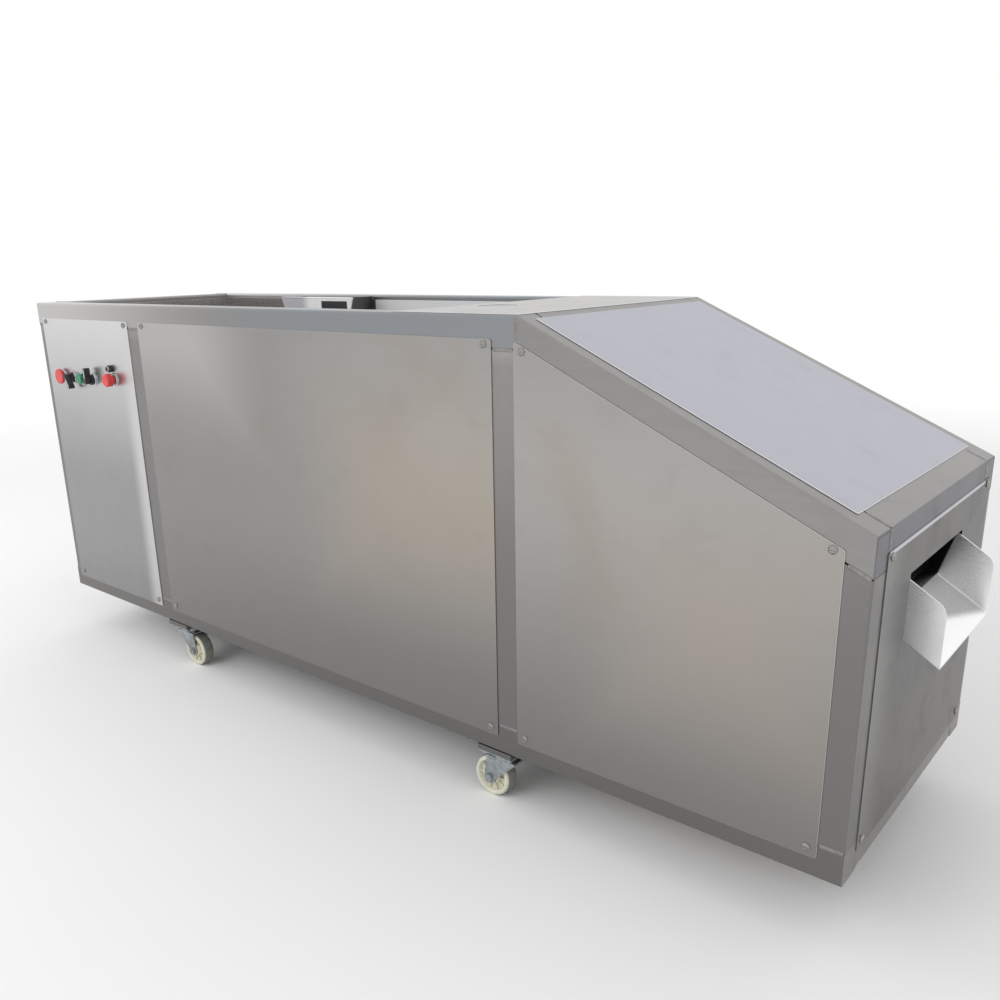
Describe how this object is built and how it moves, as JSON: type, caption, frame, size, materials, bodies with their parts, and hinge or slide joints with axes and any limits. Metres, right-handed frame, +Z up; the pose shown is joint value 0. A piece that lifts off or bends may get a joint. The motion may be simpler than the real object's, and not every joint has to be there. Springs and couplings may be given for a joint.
{
  "type": "plantain peeling machine",
  "caption": "Long stainless food machine on swivel casters with an open feed top, a sloping hood, an outlet trough at the low end and a panel of push buttons.",
  "frame": {"origin": "centre of the machine's bounding box in plan, on the floor under the wheels", "axes": "+X along the machine from the feed end to the outlet trough, +Y from the control side to the back, +Z up"},
  "size_m": [2.0546, 0.6184, 0.8295],
  "materials": {
    "frame_tube": "brushed",
    "outer_sheet": "brushed",
    "bright_sheet": "satin",
    "inner_sheet": "satin",
    "machined_steel": "machined",
    "zinc": "zinc plated",
    "knife_steel": "polished",
    "nylon": "satin",
    "dark_fittings": "matte",
    "red_plastic": "gloss",
    "green_plastic": "gloss",
    "lamp_plastic": "gloss",
    "bezel_metal": "satin",
    "cabinet_paint": "textured",
    "motor_paint": "enamel",
    "belt": "matte",
    "device_plastic": "matte"
  },
  "bodies": {
    "machine": {"bottom_rails": "frame_tube", "top_rails": "frame_tube", "slope_rails": "frame_tube", "posts": "frame_tube", "cross_members": "frame_tube", "tube_end_caps": "frame_tube", "caster_pads": "frame_tube", "caster_plates": "zinc", "control_panel": "outer_sheet", "front_panel": "outer_sheet", "front_slope_panel": "outer_sheet", "back_feed_panel": "outer_sheet", "back_panel": "outer_sheet", "back_slope_panel": "outer_sheet", "feed_end_panel": "outer_sheet", "outlet_end_panel": "outer_sheet", "panel_screws": "machined_steel", "top_cover": "outer_sheet", "slope_cover": "bright_sheet", "fruit_tray": "inner_sheet", "trough_liners": "inner_sheet", "feed_hopper": "bright_sheet", "transfer_plate": "inner_sheet", "conveyor_sides": "inner_sheet", "conveyor_belt": "belt", "head_plates": "inner_sheet", "shaft_bearings": "machined_steel", "slitting_knives": "knife_steel", "discharge_slide": "inner_sheet", "outlet_trough": "bright_sheet", "peel_pan": "inner_sheet", "motor_base": "inner_sheet", "gearmotor": "motor_paint", "drive_chains": "machined_steel", "control_bezels": "bezel_metal", "switch_bodies": "dark_fittings", "indicator_lamp": "lamp_plastic", "electrical_box": "cabinet_paint", "switchgear": "device_plastic", "cable_gland": "dark_fittings"},
    "red_button": {"red_button": "red_plastic"},
    "green_button": {"green_button": "green_plastic"},
    "left_selector": {"left_selector": "dark_fittings"},
    "right_selector": {"right_selector": "dark_fittings"},
    "stop_button": {"stop_button": "red_plastic"},
    "drive_sprocket": {"drive_sprocket": "machined_steel"},
    "head_drum": {"head_drum": "machined_steel"},
    "tail_drum": {"tail_drum": "machined_steel"},
    "lower_feed_roller": {"lower_feed_roller": "machined_steel"},
    "upper_feed_roller": {"upper_feed_roller": "machined_steel"},
    "lower_peel_roller": {"lower_peel_roller": "machined_steel"},
    "upper_peel_roller": {"upper_peel_roller": "machined_steel"},
    "caster_fork_front_feed": {"caster_fork_front_feed": "zinc"},
    "caster_wheel_front_feed": {"caster_wheel_front_feed": "nylon"},
    "caster_fork_back_feed": {"caster_fork_back_feed": "zinc"},
    "caster_wheel_back_feed": {"caster_wheel_back_feed": "nylon"},
    "caster_fork_front_outlet": {"caster_fork_front_outlet": "zinc"},
    "caster_wheel_front_outlet": {"caster_wheel_front_outlet": "nylon"},
    "caster_fork_back_outlet": {"caster_fork_back_outlet": "zinc"},
    "caster_wheel_back_outlet": {"caster_wheel_back_outlet": "nylon"}
  },
  "joints": [
    {"name": "front_feed_caster_swivel", "type": "hinge", "parent": "machine", "child": "caster_fork_front_feed", "pos_m": [-0.56565, -0.24825, 0.081], "axis": [0, 0, 1], "continuous": true},
    {"name": "front_feed_caster_roll", "type": "hinge", "parent": "caster_fork_front_feed", "child": "caster_wheel_front_feed", "pos_m": [-0.54065, -0.24825, 0.0375], "axis": [0, 1, 0], "continuous": true},
    {"name": "back_feed_caster_swivel", "type": "hinge", "parent": "machine", "child": "caster_fork_back_feed", "pos_m": [-0.56565, 0.23975, 0.081], "axis": [0, 0, 1], "continuous": true},
    {"name": "back_feed_caster_roll", "type": "hinge", "parent": "caster_fork_back_feed", "child": "caster_wheel_back_feed", "pos_m": [-0.54065, 0.23975, 0.0375], "axis": [0, 1, 0], "continuous": true},
    {"name": "front_outlet_caster_swivel", "type": "hinge", "parent": "machine", "child": "caster_fork_front_outlet", "pos_m": [0.39035, -0.24825, 0.081], "axis": [0, 0, 1], "continuous": true},
    {"name": "front_outlet_caster_roll", "type": "hinge", "parent": "caster_fork_front_outlet", "child": "caster_wheel_front_outlet", "pos_m": [0.36535, -0.24825, 0.0375], "axis": [0, 1, 0], "continuous": true},
    {"name": "back_outlet_caster_swivel", "type": "hinge", "parent": "machine", "child": "caster_fork_back_outlet", "pos_m": [0.39035, 0.23975, 0.081], "axis": [0, 0, 1], "continuous": true},
    {"name": "back_outlet_caster_roll", "type": "hinge", "parent": "caster_fork_back_outlet", "child": "caster_wheel_back_outlet", "pos_m": [0.36535, 0.23975, 0.0375], "axis": [0, 1, 0], "continuous": true},
    {"name": "red_button_press", "type": "slide", "parent": "machine", "child": "red_button", "axis": [0, 1, 0], "range_m": [0, 0.003], "stiffness_N_per_m": 500},
    {"name": "green_button_press", "type": "slide", "parent": "machine", "child": "green_button", "axis": [0, 1, 0], "range_m": [0, 0.003], "stiffness_N_per_m": 500},
    {"name": "stop_button_press", "type": "slide", "parent": "machine", "child": "stop_button", "axis": [0, 1, 0], "range_m": [0, 0.005]},
    {"name": "left_selector_turn", "type": "hinge", "parent": "machine", "child": "left_selector", "pos_m": [-0.88965, -0.28575, 0.658], "axis": [0, 1, 0], "range_deg": [-300, 0]},
    {"name": "right_selector_turn", "type": "hinge", "parent": "machine", "child": "right_selector", "pos_m": [-0.79565, -0.28575, 0.658], "axis": [0, 1, 0], "range_deg": [-45, 45]},
    {"name": "head_drum_spin", "type": "hinge", "parent": "machine", "child": "head_drum", "pos_m": [0.32735, -0.00825, 0.6597], "axis": [0, 1, 0], "continuous": true},
    {"name": "tail_drum_spin", "type": "hinge", "parent": "machine", "child": "tail_drum", "pos_m": [-0.57265, -0.00825, 0.6597], "axis": [0, 1, 0], "continuous": true},
    {"name": "drive_sprocket_spin", "type": "hinge", "parent": "machine", "child": "drive_sprocket", "pos_m": [0.30735, -0.00825, 0.233], "axis": [0, 1, 0], "continuous": true},
    {"name": "lower_feed_roller_spin", "type": "hinge", "parent": "machine", "child": "lower_feed_roller", "pos_m": [0.55235, -0.00825, 0.62995], "axis": [0, 1, 0], "continuous": true},
    {"name": "upper_feed_roller_spin", "type": "hinge", "parent": "machine", "child": "upper_feed_roller", "pos_m": [0.55235, -0.00825, 0.71995], "axis": [0, 1, 0], "continuous": true},
    {"name": "lower_peel_roller_spin", "type": "hinge", "parent": "machine", "child": "lower_peel_roller", "pos_m": [0.66235, -0.00825, 0.58014], "axis": [0, 1, 0], "continuous": true},
    {"name": "upper_peel_roller_spin", "type": "hinge", "parent": "machine", "child": "upper_peel_roller", "pos_m": [0.66235, -0.00825, 0.67014], "axis": [0, 1, 0], "continuous": true}
  ],
  "couplings": [
    {"joint": "tail_drum_spin", "follows": "head_drum_spin", "ratio": 1},
    {"joint": "drive_sprocket_spin", "follows": "head_drum_spin", "ratio": 1},
    {"joint": "lower_feed_roller_spin", "follows": "head_drum_spin", "ratio": 1},
    {"joint": "upper_feed_roller_spin", "follows": "head_drum_spin", "ratio": -1},
    {"joint": "lower_peel_roller_spin", "follows": "head_drum_spin", "ratio": 1},
    {"joint": "upper_peel_roller_spin", "follows": "head_drum_spin", "ratio": -1}
  ]
}
